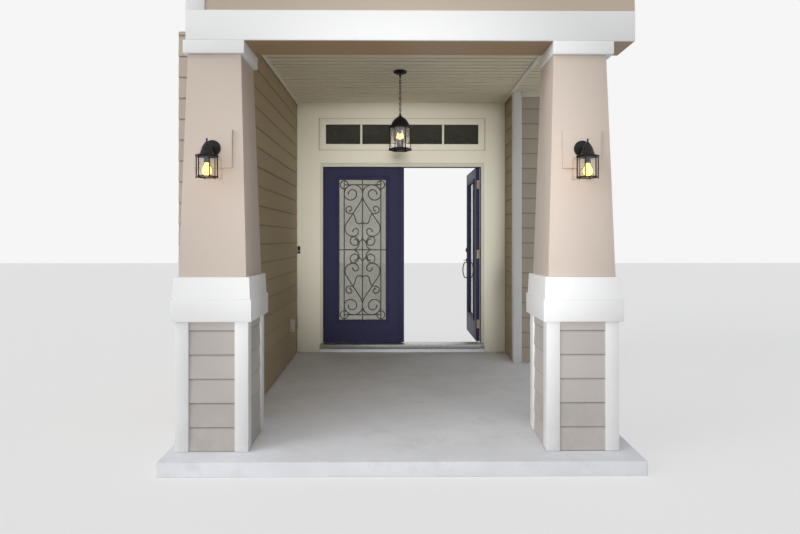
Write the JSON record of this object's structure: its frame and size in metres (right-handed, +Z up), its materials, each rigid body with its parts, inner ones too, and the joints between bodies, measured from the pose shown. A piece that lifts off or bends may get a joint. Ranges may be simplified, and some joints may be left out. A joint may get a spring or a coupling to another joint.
{
  "type": "entrance porch",
  "caption": "Entrance porch with tapered columns on clad pedestals, a fascia beam, lap-sided side walls, a hinged double front door under a transom window, and lanterns.",
  "frame": {"origin": "midway between the two columns, at the face of the boards round the door, at the level underside of the slab and footings", "axes": "+X to the right as seen from the street, +Y from the street into the house, +Z up"},
  "size_m": [3.24, 4.1687, 3.252],
  "materials": {
    "concrete": "broomed concrete",
    "siding": "painted lap siding",
    "shaft": "painted board",
    "trim": "white painted trim",
    "casing": "cream white painted boards",
    "ceiling": "ribbed soffit panel",
    "framing": "sawn timber and sheathing",
    "door": "dark blue paint",
    "jamb": "grey blue paint",
    "sill": "mill finish",
    "glass": "clear",
    "dark_glass": "dark window glass",
    "wrought": "black",
    "lamp_metal": "oil rubbed bronze",
    "bulb": "warm lit bulb",
    "brass": "satin",
    "handle": "antique bronze",
    "fitting": "moulded"
  },
  "bodies": {
    "root": {"porch_slab": "concrete", "foundation_stem": "concrete", "pedestals": "siding", "corner_boards": "trim", "pedestal_caps": "trim", "column_shafts": "shaft", "capitals": "trim", "beam_core": "framing", "beam_soffit": "siding", "beam_fascia": "trim", "upper_siding": "siding", "ceiling_panel": "ceiling", "ceiling_trim": "casing", "roof_framing": "framing", "roof_deck": "framing", "garage_wall": "framing", "return_wall": "framing", "wall_siding": "siding", "entry_wall_sides": "framing", "entry_wall_header": "framing", "entry_boards": "casing", "door_frame": "jamb", "door_sill": "sill", "transom_frame": "casing", "transom_glass": "dark_glass", "frame_hinges": "brass", "pendant_stem": "lamp_metal", "pendant_lantern": "lamp_metal", "lantern_blocks": "shaft", "wall_lanterns": "lamp_metal", "lamp_glass": "glass", "lamp_bulbs": "bulb", "wall_fittings": "fitting"},
    "left_door": {"left_leaf": "door", "left_lite_frame": "door", "left_glass": "glass", "left_grille": "wrought", "astragal": "door", "left_hinges": "brass"},
    "right_door": {"right_leaf": "door", "right_lite_frame": "door", "right_glass": "glass", "right_grille": "wrought", "handleset": "handle", "right_hinges": "brass"}
  },
  "joints": [
    {"name": "left_door_hinge", "type": "hinge", "parent": "root", "child": "left_door", "pos_m": [-0.853, 0.122, 1.3], "axis": [0, 0, 1], "range_deg": [0, 100]},
    {"name": "right_door_hinge", "type": "hinge", "parent": "root", "child": "right_door", "pos_m": [0.985, 0.122, 1.3], "axis": [0, 0, 1], "range_deg": [-10, 90]}
  ]
}
